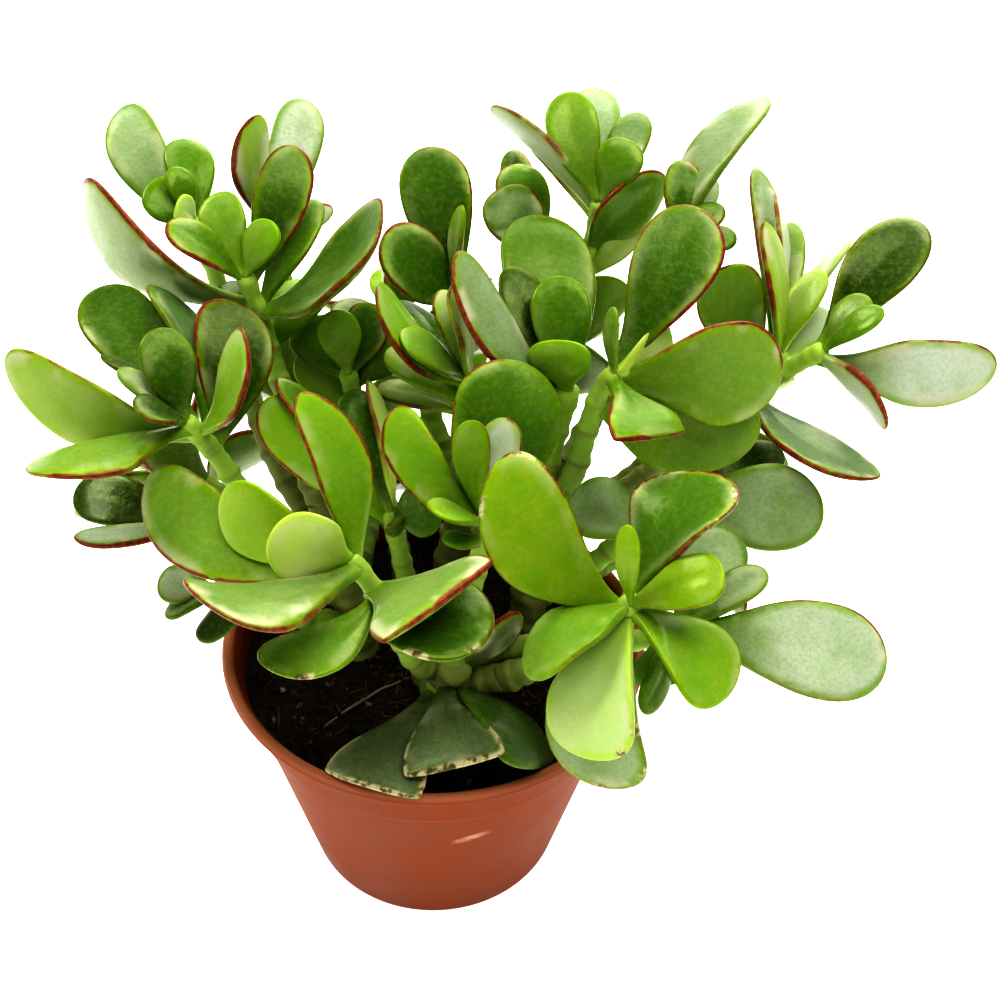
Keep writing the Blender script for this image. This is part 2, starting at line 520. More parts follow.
# A shoot's first `wood` millimetres belong to its trunk. Its stem leaves `start` toward `out` and ends,
# at `heading` in compass and rise, on its apex: a pixel of the photograph and a depth from the eye, or a
# place for a shoot that no picture shows.
BRANCHES = {
    "front_right": dict(trunk="front", wood=17, radii=(5, 3), apex_pixel=(632, 604), apex_depth=350,
        heading=(-85, 50), start=(8, -26, 96), out=(0.95, -0.2, 0.25)),
    "right_under": dict(trunk="front", wood=17, apex_pixel=(690, 628), apex_depth=368,
        heading=(-20, 45), start=(8, -24, 100), out=(0.9, 0.4, 0.4)),
    "base": dict(trunk="front", wood=0, radii=(6, 5.5), apex_pixel=(452, 672), apex_depth=402,
        heading=(-90, 80), start=(5, -26, 94), out=(0, 0, 1)),
    "front_left": dict(trunk="front", wood=16, apex_pixel=(347, 557), apex_depth=352,
        heading=(173, 50), start=(1, -28, 104), out=(-0.4, -0.6, 0.7)),
    "centre": dict(trunk="front", wood=15, apex_pixel=(482, 513), apex_depth=378,
        heading=(120, 80), start=(7, -29, 106), out=(0.1, 0.3, 0.9)),
    "mid": dict(trunk="back", wood=12, apex_pixel=(466, 374), apex_depth=398,
        heading=(-120, 70), start=(7, 39, 120), out=(-0.1, -0.7, 0.7)),
    "mid_back": dict(trunk="back", wood=13, apex_pixel=(457, 285), apex_depth=412,
        heading=(-100, 70), start=(13, 43, 138), out=(-0.5, -0.1, 0.8)),
    "right_mid": dict(trunk="right", wood=13, radii=(4.5, 3.2), apex_pixel=(568, 388), apex_depth=390,
        heading=(-95, 65), start=(35, 13, 138), out=(-0.35, -0.1, 0.9)),
    "right_fork": dict(trunk="right", wood=13, apex_pixel=(617, 374), apex_depth=374,
        heading=(-60, 40), start=(36, 13, 138), out=(0.5, -0.5, 0.7)),
    "far_right": dict(trunk="right", wood=13, apex_pixel=(826, 349), apex_depth=385,
        heading=(-40, 45), start=(34, 11, 128), out=(0.9, 0, 0.5)),
    "right_back": dict(trunk="right", wood=13, apex_pixel=(782, 352), apex_depth=398,
        heading=(-60, 65), start=(33, 12, 118), out=(0.7, 0.6, 0.5)),
    "right_low": dict(trunk="right", wood=13, apex_pixel=(668, 505), apex_depth=392,
        heading=(-40, 50), start=(32, 9, 105), out=(0.7, -0.5, 0.5)),
    "back_right": dict(trunk="back", wood=12, apex_pixel=(600, 200), apex_depth=412,
        heading=(-90, 70), start=(14, 44, 138), out=(0.6, 0.2, 0.8)),
    "back_right_low": dict(trunk="right", wood=12, apex_pixel=(680, 245), apex_depth=402,
        heading=(-80, 65), start=(36, 14, 140), out=(0.4, 0.6, 0.7)),
    "back": dict(trunk="back", wood=13, apex_pixel=(538, 262), apex_depth=425,
        heading=(-90, 70), start=(12, 43, 130), out=(0.1, 0.8, 0.5)),
    "back_left": dict(trunk="left", wood=12, apex_pixel=(244, 275), apex_depth=385,
        heading=(-110, 65), start=(-34, 8, 130), out=(-0.2, -0.35, 0.9)),
    "back_left_rear": dict(trunk="left", wood=15, apex_pixel=(192, 220), apex_depth=400,
        heading=(-120, 65), start=(-32, 8, 122), out=(-0.8, 0.4, 0.5)),
    "back_left_tall": dict(trunk="left", wood=12, apex_pixel=(268, 222), apex_depth=408,
        heading=(-90, 75), start=(-33, 9, 127), out=(0.2, 0.6, 0.8)),
    "left": dict(trunk="left", wood=13, apex_pixel=(183, 420), apex_depth=370,
        heading=(-150, 55), start=(-31, 5, 115), out=(-0.8, -0.5, 0.4)),
    "left_low": dict(trunk="left", wood=13, apex_pixel=(185, 515), apex_depth=405,
        heading=(-150, 45), start=(-29, 4, 102), out=(-0.9, 0.2, 0.4)),
    "left_under": dict(trunk="left", wood=12, apex_pixel=(212, 588), apex_depth=392,
        heading=(-160, 30), start=(-28, 3, 94), out=(-0.7, -0.6, 0.3)),
    "inner_left": dict(trunk=None, wood=0, apex_pixel=(392, 512), apex_depth=398,
        heading=(-90, 70), start=(-3, -10, 80), out=(0, 0, 1)),
    "inner_back": dict(trunk=None, wood=0, apex_pixel=(348, 372), apex_depth=402,
        heading=(-90, 60), start=(-12, 27, 80), out=(0, 0, 1)),
    "rear_centre": dict(trunk="back", wood=13, apex=(-16, 84, 166),
        heading=(105, 50), start=(8, 41, 116), out=(-0.4, 0.8, 0.5)),
    "rear_right": dict(trunk="back", wood=13, apex=(44, 98, 150),
        heading=(65, 35), start=(9, 42, 124), out=(0.7, 0.7, 0.3)),
    "rear_low": dict(trunk="back", wood=13, apex=(8, 106, 120),
        heading=(95, 10), start=(4, 40, 100), out=(0.2, 0.9, 0.3)),
    "rear_left": dict(trunk="left", wood=12, apex=(-58, 80, 140),
        heading=(125, 30), start=(-30, 7, 112), out=(-0.2, 0.9, 0.4)),
    "rear_far_right": dict(trunk="right", wood=13, apex=(98, 74, 144),
        heading=(40, 30), start=(31, 11, 108), out=(0.6, 0.8, 0.3)),
    "rear_side": dict(trunk="left", wood=13, apex=(-94, 40, 130),
        heading=(160, 20), start=(-29, 6, 106), out=(-0.8, 0.7, 0.3)),
    "rear_right_side": dict(trunk="right", wood=13, apex=(98, 44, 112),
        heading=(25, 5), start=(30, 10, 98), out=(0.9, 0.4, 0.3)),
    "rear_left_low": dict(trunk="left", wood=12, apex=(-30, 72, 112),
        heading=(120, 15), start=(-27, 5, 96), out=(-0.1, 0.9, 0.3)),
}
# A stem's radii at its foot and its tip, how far down it is wood, how far its rings are from one another
# and from the leaves above them, and how far a shoot laps onto the end of its wood, in millimetres.
STEM_RADII = (4, 2.6)
WOOD_DOWN = 75
RING_STEP = 11
FIRST_RING = 10
JOINT = 0.3
FAR = 99.0
STEM_PULL = 0.35
STEM_BLOOM = 0.1
TRUNK_AGE = 0.95
TRUNK_SIDES = 40
FOOT = np.linspace(-22, -1, 8)[:, None] * np.array([0.0, 0.0, 1.0])
STEM_GREENS = np.array([linear(colour)[:3] for colour in ("#a4c24e", "#84a43a", "#7e8448")])
# What each point of a skin carries, by the columns after its place.
VALUES = {"green": slice(3, 6), "margin": 6, "red": 7, "bloom": 8, "scar": 9}


def sight_point(pixel, depth):
    """The place that is seen at a pixel of the photograph, `depth` millimetres in front of the eye."""
    across, down = (np.array(pixel) - FRAME_PIXELS / 2) / FOCAL_PIXELS
    return EYE + depth * (sight + across * eye_right - down * eye_up)


def unit(vector):
    """The vectors along the last axis, each one long."""
    return vector / np.linalg.norm(vector, axis=-1, keepdims=True)


def stem_line(branch):
    """A stem's places from its growing tip down and how far down each is: a cubic Bezier curve that
    leaves the start along `out` and reaches the apex along `heading`, pulled 0.35 of the span."""
    start, out = np.array(branch["start"], float), np.array(branch["out"], float)
    if "apex" in branch:
        apex = np.array(branch["apex"], float)
    else:
        apex = sight_point(branch["apex_pixel"], branch["apex_depth"])
    compass, rise = np.radians(branch["heading"])
    heading = np.array([np.cos(compass) * np.cos(rise), np.sin(compass) * np.cos(rise), np.sin(rise)])
    pull = STEM_PULL * np.linalg.norm(apex - start)
    s = np.linspace(1, 0, 121)[:, None]
    places = ((1 - s) ** 3 * start + 3 * s * (1 - s) ** 2 * (start + out * pull)
              + 3 * s ** 2 * (1 - s) * (apex - heading * pull) + s ** 3 * apex)
    steps = np.linalg.norm(np.diff(places, axis=0), axis=1)
    return places, np.concatenate([[0], np.cumsum(steps)])


def at(line, down):
    """The places on a stem's line, `down` millimetres from its tip."""
    places, downs = line
    return np.stack([np.interp(down, downs, places[:, axis]) for axis in range(3)], -1)


def toward_tip(line, down):
    """The stem's direction, from 2 mm below each place to 2 mm above it."""
    return unit(at(line, down - 2) - at(line, down + 2))


def stem_skin(centre, along, radius, age, rings, sides=28):
    """A stem's skin: circles round its line, each swollen by 14% within 1.5 mm of the ring that a leaf
    pair left and pinched just above it, and fluted by a few per cent. `age` runs from 0, fresh, to 1,
    wood, and sets the colour; `rings` is the distance in millimetres to the nearest ring."""
    across = np.cross(along[0], along[-1])
    if np.linalg.norm(across) < 0.05:
        across = np.cross(along[0], [0.3, 0.9, 0.2])
    across = unit(across - (along @ across)[:, None] * along)
    third = np.cross(along, across)
    around = 2 * np.pi * np.arange(sides) / sides
    swell = 1 + 0.14 * np.exp(-(rings / 1.5) ** 2) - 0.05 * np.exp(-((rings - 3) / 1.2) ** 2)
    flute = 1 + 0.035 * np.sin(3 * around + 2 * along[:, :1]) * (0.4 + age[:, None])
    reach = (radius * swell)[:, None] * flute
    places = (centre[:, None] + reach[..., None] * (
        np.cos(around)[None, :, None] * across[:, None] + np.sin(around)[None, :, None] * third[:, None]))
    lump = waves(places[..., 0] + places[..., 2], places[..., 1] - places[..., 2], 7.0, 11)
    places = places + 0.05 * (radius * age)[:, None, None] * lump[..., None] * unit(
        places - centre[:, None])
    green = np.stack([np.interp(age, (0, 0.5, 1), channel) for channel in STEM_GREENS.T], -1)
    ring_scar = 0.5 * np.clip(age * 2.5, 0.2, 1) * np.exp(-(rings / 0.7) ** 2)
    nothing = 0 * green[:, :1]
    values = np.concatenate([green, nothing + FAR, nothing, nothing + STEM_BLOOM, ring_scar[:, None]], 1)
    return closed_skin(np.concatenate([places, np.repeat(values[:, None], sides, axis=1)], -1))


def living_piece(name, skins, finishes):
    """A piece of stems and leaves, from pairs of a skin and the number of its finish. What each point
    carries, by VALUES, goes to the mesh's own attributes."""
    points, faces = joined([skin for skin, _ in skins])
    finish_of_face = np.concatenate([np.full(len(skin[1]), number) for skin, number in skins])
    piece = new_piece(name, points, faces, finishes, finish_of_face)
    for value, column in VALUES.items():
        if value == "green":
            colour = np.concatenate([points[:, column], np.ones((len(points), 1))], 1)
            piece.data.attributes.new(value, "FLOAT_COLOR", "POINT").data.foreach_set(
                "color", colour.ravel().astype(np.float32))
        else:
            piece.data.attributes.new(value, "FLOAT", "POINT").data.foreach_set(
                "value", points[:, column].astype(np.float32))
    return piece


# Young bark: a dull, finely wrinkled skin, corky and tan at the rings and scars.
bark, stem_tree, stem_shader = new_finish(
    "young_jade_bark", Roughness=0.62, IOR=1.42, Subsurface_Weight=0.08, Subsurface_Scale=0.0015)
stem_place = add_node(stem_tree, "TexCoord").outputs["Object"]
stem_green = add_node(stem_tree, "Attribute", attribute_name="green")
stem_scar = add_node(stem_tree, "Attribute", attribute_name="scar")
stem_patches = add_node(stem_tree, "TexNoise", {
    "Vector": stem_place, "Scale": 220.0, "Detail": 5.0, "Roughness": 0.65})
patch_share = add_node(stem_tree, "MapRange", {
    "Value": stem_patches.outputs["Fac"], "From Min": 0.46, "From Max": 0.76, "To Max": 0.5})
patched = add_node(stem_tree, "Mix", {
    0: patch_share.outputs[0], 6: stem_green.outputs["Color"], 7: linear("#9c9a70")}, data_type="RGBA")
scarred = add_node(stem_tree, "Mix", {
    0: stem_scar.outputs["Fac"], 6: patched.outputs[2], 7: linear("#6a4f36")}, data_type="RGBA")
stem_tree.links.new(scarred.outputs[2], stem_shader.inputs["Base Color"])
wrinkle_place = add_node(stem_tree, "Mapping", {"Vector": stem_place, "Scale": (1.0, 1.0, 0.35)})
wrinkles = add_node(stem_tree, "TexNoise", {
    "Vector": wrinkle_place.outputs[0], "Scale": 900.0, "Detail": 4.0})
wrinkle_bump = add_node(stem_tree, "Bump", {
    "Height": wrinkles.outputs["Fac"], "Strength": 0.35, "Distance": 0.0005})
stem_tree.links.new(wrinkle_bump.outputs[0], stem_shader.inputs["Normal"])


def trunk_skin(trunk):
    """A trunk's skin: a quadratic Bezier line through start and end that leaves toward `bend`, on a foot
    that stands straight in the soil, ringed every 11 mm and rounded off over the last 3.5 mm."""
    start, bend, end = (np.array(trunk[key], float) for key in ("start", "bend", "end"))
    s = np.linspace(0, 1, 60)[:, None]
    curve = (1 - s) ** 2 * start + 2 * s * (1 - s) * bend + s ** 2 * end
    centre = np.vstack([start + FOOT, curve])
    along = unit(np.gradient(centre, axis=0))
    share = np.concatenate([np.zeros(len(FOOT)), s[:, 0]])
    radius = trunk["radii"][0] + (trunk["radii"][1] - trunk["radii"][0]) * share
    to_end = np.linalg.norm(centre - end, axis=1)
    radius = radius * np.sqrt(np.clip(1 - (1 - np.clip(to_end / 3.5, 0, 1)) ** 2, 0.01, 1))
    height = np.concatenate([[0], np.cumsum(np.linalg.norm(np.diff(centre, axis=0), axis=1))])
    rings = np.abs((height + 3) % RING_STEP - RING_STEP / 2)
    return stem_skin(centre, along, radius, np.full(len(centre), TRUNK_AGE), rings, TRUNK_SIDES)


def shoot_stem(line, branch, lowest, highest, ring_downs, foot=False):
    """The skin of a shoot's stem between two places, measured down from its tip, with a ring at each of
    `ring_downs`. Its age grows from 0 at the tip to wood 75 mm down, a growing tip is rounded off over
    2 mm, and a stem with a `foot` goes on straight down in the soil."""
    length = line[1][-1]
    down = np.linspace(lowest, highest, max(12, int(abs(lowest - highest) / 0.8)))
    radii = branch.get("radii", STEM_RADII)
    radius = radii[1] + (radii[0] - radii[1]) * np.clip(down, 0, length) / length
    radius = radius * np.sqrt(np.clip(1 - (1 - np.clip(down / 2, 0, 1)) ** 2, 0.004, 1))
    centre, along = at(line, down), toward_tip(line, down)
    rings = np.abs(down[:, None] - np.array(ring_downs)).min(1)
    if foot:
        centre = np.vstack([centre[0] + FOOT, centre])
        along = np.vstack([0 * FOOT + (0, 0, 1), along])
        below = np.ones(len(FOOT))
        radius = np.concatenate([below * radius[0], radius])
        down = np.concatenate([below * lowest, down])
        rings = np.concatenate([below * FAR, rings])
    return stem_skin(centre, along, radius, np.clip(down / WOOD_DOWN, 0, 1), rings)


# The leaves: thick, fleshy, oval blades in crossed pairs, each on a short neck. Their skin is waxy and
# finely pebbled, a saturated green when young and greyer with bloom when old, with a thin red margin
# where light reaches it.
#
# Each row is one leaf that the photograph shows: how far down its stem it grows, the pixel of its tip and
# how much nearer the eye that is than its root, its width, which way it faces, what is its own in the
# shape that leaf_skin draws, its finish, and how red and how scarred its margin is.
LEAVES = {
    "front_right": [
        dict(down=1, tip=(628, 525), ahead=16, width=7, face=-20, finish="young", red=0.1),
        dict(down=2, tip=(725, 574), ahead=16, width=15.3, turn=-17,
             wide=0.71, blunt=2.8, finish="young", red=0.25),
        dict(down=3, tip=(526, 676), ahead=5, width=22.2, face=51,
             arch=0.1, bend=0.03, wide=0.56, cup=0.25, blunt=2.3, finish="green", red=0.2),
        dict(down=4, tip=(725, 700), ahead=10, width=26.3, face=-42,
             arch=0.07, bend=0.03, wide=0.73, cup=0.22, finish="fresh", red=0.35),
        dict(down=6, tip=(592, 760), ahead=12, width=31.9, face=40,
             arch=0.07, wide=0.76, cup=0.3, finish="bright", red=0.15, scar=1),
        dict(down=6, tip=(728, 478), ahead=2, width=33, face=-49, arch=0.07,
             bend=0.04, wide=0.64, cup=0.4, blunt=2.3, taper=3, finish="full", red=0.9, scar=1),
        dict(down=10, tip=(501, 458), ahead=12, width=27.1, face=13,
             arch=0.02, bend=0.14, blunt=2.2, finish="young", red=0.55, scar=1),
        dict(down=14, tip=(608, 789), ahead=8, width=36.2, face=42,
             arch=0.08, wide=0.73, cup=0.29, blunt=2.9, finish="grey", red=0.45, scar=1),
    ],
    "right_under": [
        dict(down=2, tip=(887, 664), ahead=6, width=28, face=-15, finish="pale", red=0.55),
        dict(down=2, tip=(766, 570), ahead=0, width=12, face=-30, finish="grey", red=0.2),
        dict(down=5, tip=(728, 528), ahead=-12, width=20, face=0, finish="grey", red=0.1),
        dict(down=10, tip=(662, 688), ahead=8, width=18, face=30, finish="deep", red=0.2),
        dict(down=8, tip=(642, 712), ahead=22, width=10, finish="deep", red=0.1),
    ],
    "base": [
        dict(down=6, tip=(456, 768), ahead=35, width=29.9, turn=30,
             bend=-0.04, wide=0.92, cup=-0.01, blunt=5.7, taper=3.3, finish="dull", red=0.05, scar=2),
        dict(down=9, tip=(369, 788), ahead=34, width=32.9, turn=24, arch=-0.04,
             bend=-0.06, wide=0.92, cup=0.1, blunt=4.9, taper=3.4, finish="dull", red=0.05, scar=2),
        dict(down=9, tip=(532, 769), ahead=25, width=31.8, turn=-37,
             arch=0.1, wide=0.69, cup=0.12, blunt=5.2, taper=2.1, finish="dark", red=0.05),
        dict(down=1, tip=(520, 613), ahead=6, width=11, turn=60, finish="dull", red=0.8),
    ],
    "front_left": [
        dict(down=1, tip=(272, 531), ahead=17, width=20.5, face=-18,
             arch=0.07, wide=0.62, cup=0.23, blunt=2.2, finish="lit", red=0.1),
        dict(down=1, tip=(220, 498), ahead=-2, width=22, face=-34,
             arch=0.09, wide=0.73, blunt=2.2, finish="young", red=0.15),
        dict(down=4, tip=(302, 392), ahead=7, width=17.9, face=34,
             arch=0.03, bend=-0.07, wide=0.54, cup=0.21, finish="fresh", red=0.9),
        dict(down=4, tip=(195, 597), ahead=28, width=33, face=63,
             arch=0, bend=0.19, wide=0.83, cup=-0.25, blunt=3.3, taper=2.9, finish="sunlit", red=0.85),
        dict(down=6, tip=(146, 481), ahead=-19, width=24.8, face=0,
             arch=0.07, bend=0.1, wide=0.72, cup=0.19, blunt=2.2, finish="green", red=0.85),
        dict(down=15, tip=(263, 666), ahead=24, width=17.5, face=35,
             arch=-0.01, bend=0.15, wide=0.75, finish="green", red=0.25, scar=1),
        dict(down=14, tip=(442, 602), ahead=29, width=38.5, turn=-13,
             arch=-0.02, bend=0.03, wide=0.92, cup=0.09, blunt=5.9, finish="sunlit", red=0.9),
        dict(down=18, tip=(480, 648), ahead=22, width=32.1, face=-40,
             arch=0.04, wide=0.52, cup=0.18, blunt=2.2, finish="dark", red=0.35, scar=1),
    ],
    "centre": [
        dict(down=1, tip=(471, 420), ahead=14, width=11, face=-6,
             bend=0.03, wide=0.72, finish="fresh", red=0.3),
        dict(down=1, tip=(507, 418), ahead=9, width=13, face=0, finish="silver", red=0.5),
        dict(down=4, tip=(393, 409), ahead=5, width=15.3, face=4,
             arch=0.06, bend=0.1, blunt=2.9, taper=1.2, finish="fresh", red=0.7),
        dict(down=4, tip=(433, 512), ahead=16, width=15, face=75, finish="fresh", red=0.2),
        dict(down=8, tip=(515, 360), ahead=4, width=32.8, face=11,
             blunt=2.3, taper=1.4, finish="full", red=0.4),
        dict(down=10, tip=(448, 545), ahead=14, width=10, finish="deep", red=0.2),
    ],
    "mid": [
        dict(down=1, tip=(440, 290), ahead=6, width=11, face=30, finish="bright", red=0.4),
        dict(down=2, tip=(450, 287), ahead=18, width=18, face=70, finish="lit", red=0.9),
        dict(down=4, tip=(376, 288), ahead=25, width=19.7, face=59, arch=-0.07,
             bend=0.05, wide=0.59, cup=0.02, blunt=3.2, taper=1.2, finish="fresh", red=0.7),
        dict(down=5, tip=(400, 338), ahead=24, width=15, face=60, finish="green", red=0.3),
        dict(down=8, tip=(402, 300), ahead=-10, width=14, face=60, finish="dark", red=0.4),
        dict(down=14, tip=(385, 352), ahead=8, width=14, face=40, finish="light", red=0.2),
        dict(down=18, tip=(376, 388), ahead=0, width=12, face=50, finish="lit", red=0.8),
        dict(down=18, tip=(450, 392), ahead=-10, width=9, face=40, finish="dark", red=0.1),
    ],
    "mid_back": [
        dict(down=2, tip=(462, 205), ahead=12, width=8, face=-60, finish="green", red=0.4),
        dict(down=4, tip=(426, 147), ahead=0, width=23.1, face=2,
             arch=0.06, wide=0.68, blunt=2.2, finish="dark", red=0.5),
        dict(down=7, tip=(385, 232), ahead=13, width=22.6, face=27,
             bend=0.06, wide=0.55, blunt=2.8, taper=1.3, finish="dark", red=0.9),
    ],
    "right_mid": [
        dict(down=1, tip=(557, 276), ahead=2, width=18, face=0, finish="full", red=0.2),
        dict(down=2, tip=(559, 340), ahead=11, width=19.6, face=-22,
             arch=0.04, wide=0.71, cup=0.2, blunt=2.8, taper=2.1, finish="fresh", red=0.1),
        dict(down=5, tip=(508, 267), ahead=-2, width=15, face=20, finish="shade", red=0.2),
        dict(down=7, tip=(456, 253), ahead=19, width=20.6, face=50,
             arch=-0.02, bend=0.08, wide=0.61, cup=0, taper=1.9, finish="grey", red=0.75),
        dict(down=7, tip=(535, 215), ahead=-16, width=29.3, face=16,
             arch=0.06, wide=0.62, blunt=2.8, finish="full", red=0.35),
    ],
    "right_fork": [
        dict(down=1, tip=(671, 332), ahead=-10, width=16.5, face=34, bend=-0.03, finish="lit", red=0.1),
        dict(down=1, tip=(614, 307), ahead=8, width=7, face=-60, finish="sunlit", red=0.15),
        dict(down=4, tip=(700, 208), ahead=-3, width=25.8, face=-9,
             arch=0.04, bend=-0.03, wide=0.71, blunt=2.2, taper=2.4, finish="dark", red=0.85),
        dict(down=4, tip=(651, 439), ahead=18, width=22.9, face=-39,
             arch=0.02, wide=0.92, blunt=5.2, taper=2.5, finish="deep", red=0.8),
        dict(down=6, tip=(783, 367), ahead=1, width=31.5, face=22,
             arch=0.07, bend=0.03, wide=0.64, taper=2.6, finish="green", red=0.7),
        dict(down=16, tip=(760, 432), ahead=-2, width=24.9, face=13,
             arch=0.04, bend=-0.08, wide=0.5, blunt=2.7, taper=1.2, finish="green", red=0.3),
    ],
    "far_right": [
        dict(down=1, tip=(868, 296), ahead=5, width=11, face=-30, finish="sunlit", red=0.1),
        dict(down=1, tip=(884, 310), ahead=12, width=9, face=-40, finish="deep", red=0.15),
        dict(down=3, tip=(919, 221), ahead=-4, width=21.7, face=-16,
             arch=0.06, wide=0.64, blunt=2.3, taper=2.1, finish="shade", red=0.5),
        dict(down=3, tip=(888, 425), ahead=14, width=18, face=-110, bend=0.05, finish="pearl", red=0.9),
        dict(down=6, tip=(997, 367), ahead=9, width=20.5, face=9,
             arch=0.06, bend=-0.05, wide=0.59, cup=0.12, taper=2.6, finish="silver", red=0.45),
    ],
    "right_back": [
        dict(down=1, tip=(792, 222), ahead=-14, width=10, face=0, finish="sunlit", red=0.3),
        dict(down=2, tip=(822, 270), ahead=2, width=11, face=-30, finish="light", red=0.2),
        dict(down=3, tip=(764, 222), ahead=12, width=12, face=60, finish="light", red=0.6),
        dict(down=6, tip=(757, 168), ahead=-22, width=12, face=40, finish="grey", red=0.8),
        dict(down=7, tip=(828, 310), ahead=-4, width=14, face=-20, finish="pearl", red=0.3),
        dict(down=12, tip=(728, 265), ahead=8, width=23.2, face=-25,
             arch=0.03, bend=0.05, wide=0.69, cup=0.23, blunt=2.7, finish="green", red=0.7),
        dict(down=20, tip=(877, 479), ahead=28, width=22.9, face=-65,
             arch=-0.04, bend=-0.1, wide=0.63, blunt=2.8, taper=1.4, finish="blue", red=0.8),
        dict(down=7, tip=(850, 240), ahead=-8, width=10, face=-60, finish="silver", red=0.3),
        dict(down=6, tip=(776, 194), ahead=-4, width=10, face=75, finish="pearl", red=0.9),
    ],
    "right_low": [
        dict(down=3, tip=(824, 513), ahead=2, width=26.2, face=0,
             bend=0.03, blunt=2.2, finish="grey", red=0.1),
        dict(down=6, tip=(782, 450), ahead=-14, width=16, face=-20, finish="shade", red=0.15),
        dict(down=8, tip=(566, 517), ahead=7, width=23.3, face=34,
             arch=0.09, wide=0.52, cup=0.19, blunt=2.2, taper=1.2, finish="grey", red=0.1),
    ],
    "back_right": [
        dict(down=1, tip=(630, 140), ahead=4, width=15, face=-10, finish="deep", red=0.2),
        dict(down=1, tip=(565, 92), ahead=0, width=17, face=10, bend=0.05, finish="green", red=0.15),
        dict(down=3, tip=(642, 113), ahead=-8, width=13, face=-10, finish="blue", red=0.3),
        dict(down=4, tip=(592, 88), ahead=-18, width=18, face=0, finish="grey", red=0.3),
        dict(down=6, tip=(491, 107), ahead=4, width=18, face=110, finish="pearl", red=0.8),
        dict(down=9, tip=(537, 147), ahead=-16, width=15, face=60, finish="lit", red=0.4),
        dict(down=20, tip=(664, 174), ahead=8, width=19.7, face=42,
             arch=0.07, bend=0.12, wide=0.5, blunt=2.2, taper=1.2, finish="deep", red=0.8),
        dict(down=30, tip=(645, 213), ahead=6, width=11, face=20, finish="light", red=0.3),
    ],
    "back_right_low": [
        dict(down=1, tip=(722, 205), ahead=0, width=9, face=-20, finish="dark", red=0.3),
        dict(down=1, tip=(737, 238), ahead=4, width=9, face=-30, finish="dark", red=0.3),
        dict(down=3, tip=(684, 160), ahead=-2, width=13, face=20, finish="dark", red=0.8),
        dict(down=6, tip=(708, 172), ahead=-14, width=12, face=0, finish="pearl", red=0.3),
        dict(down=3, tip=(764, 98), ahead=-6, width=21.2, face=-46,
             arch=0.07, bend=0.07, wide=0.63, cup=0.09, taper=2.1, finish="grey", red=0.3),
    ],
    "back": [
        dict(down=2, tip=(500, 188), ahead=2, width=20, face=10, finish="blue", red=0.75),
        dict(down=4, tip=(515, 164), ahead=-8, width=18, face=10, finish="deep", red=0.7),
        dict(down=6, tip=(512, 150), ahead=-16, width=12, face=0, finish="shade", red=0.6),
    ],
    "back_left": [
        dict(down=1, tip=(272, 221), ahead=6, width=11, face=-20, finish="fresh", red=0.1),
        dict(down=1, tip=(218, 192), ahead=1, width=13.9, face=-8,
             arch=0.06, bend=0.05, wide=0.64, blunt=2.8, finish="green", red=0.15),
        dict(down=3, tip=(166, 224), ahead=12, width=13, face=40, finish="deep", red=0.85),
        dict(down=5, tip=(296, 146), ahead=-2, width=16.6, face=0,
             bend=-0.02, taper=1.8, finish="dark", red=0.85),
        dict(down=12, tip=(82, 190), ahead=-5, width=28.6, face=128,
             arch=-0.12, bend=-0.05, wide=0.74, cup=0, taper=2.7, finish="grey", red=0.85),
        dict(down=14, tip=(383, 208), ahead=23, width=30.8, face=-65,
             arch=-0.12, bend=-0.06, cup=0.31, blunt=3.2, taper=1.5, finish="full", red=0.85),
        dict(down=14, tip=(318, 200), ahead=-8, width=12, face=-20, finish="deep", red=0.3),
        dict(down=26, tip=(226, 282), ahead=-6, width=14, face=30, finish="shade", red=0.1),
        dict(down=26, tip=(312, 282), ahead=-14, width=17, face=-20, finish="fresh", red=0.1),
    ],
    "back_left_rear": [
        dict(down=1, tip=(173, 167), ahead=4, width=9, face=20, finish="deep", red=0.1),
        dict(down=1, tip=(176, 206), ahead=10, width=11, face=30, finish="bright", red=0.1),
        dict(down=3, tip=(180, 139), ahead=-6, width=15, face=0, bend=-0.06, finish="deep", red=0.2),
        dict(down=3, tip=(150, 182), ahead=4, width=14, face=20, bend=0.08, finish="deep", red=0.2),
        dict(down=6, tip=(124, 106), ahead=-8, width=18, face=0, bend=0.08, finish="grey", red=0.2),
        dict(down=16, tip=(333, 208), ahead=-22, width=9, face=0, finish="silver", red=0.8),
    ],
    "back_left_tall": [
        dict(down=3, tip=(253, 116), ahead=26, width=15.9, face=42,
             arch=-0.02, bend=0.08, wide=0.68, cup=-0.01, taper=1.9, finish="light", red=0.9),
        dict(down=4, tip=(304, 99), ahead=-8, width=16.7, face=-5,
             arch=0.04, bend=-0.03, blunt=2.7, taper=1.3, finish="pale", red=0.2),
    ],
    "left": [
        dict(down=1, tip=(136, 410), ahead=16, width=13, face=60, finish="shade", red=0.3),
        dict(down=1, tip=(157, 328), ahead=2, width=15.5, face=6,
             arch=0.06, wide=0.6, finish="dark", red=0.2),
        dict(down=3, tip=(102, 355), ahead=-4, width=9, face=60, finish="shade", red=0.3),
        dict(down=3, tip=(118, 369), ahead=4, width=7, face=20, finish="grey", red=0.2),
        dict(down=5, tip=(26, 472), ahead=20, width=28.6, face=77,
             arch=0.02, wide=0.53, cup=-0.24, blunt=3.6, taper=2.1, finish="green", red=0.9),
        dict(down=7, tip=(245, 334), ahead=26, width=16.9, face=-58,
             arch=-0.04, bend=-0.11, wide=0.69, cup=0.24, blunt=3, taper=2, finish="fresh", red=0.9),
        dict(down=8, tip=(97, 288), ahead=-19, width=22.4, face=13,
             arch=0.07, bend=0.02, wide=0.7, cup=0.12, taper=2.1, finish="dark", red=0.35),
        dict(down=8, tip=(5, 358), ahead=2, width=21.6, face=-26,
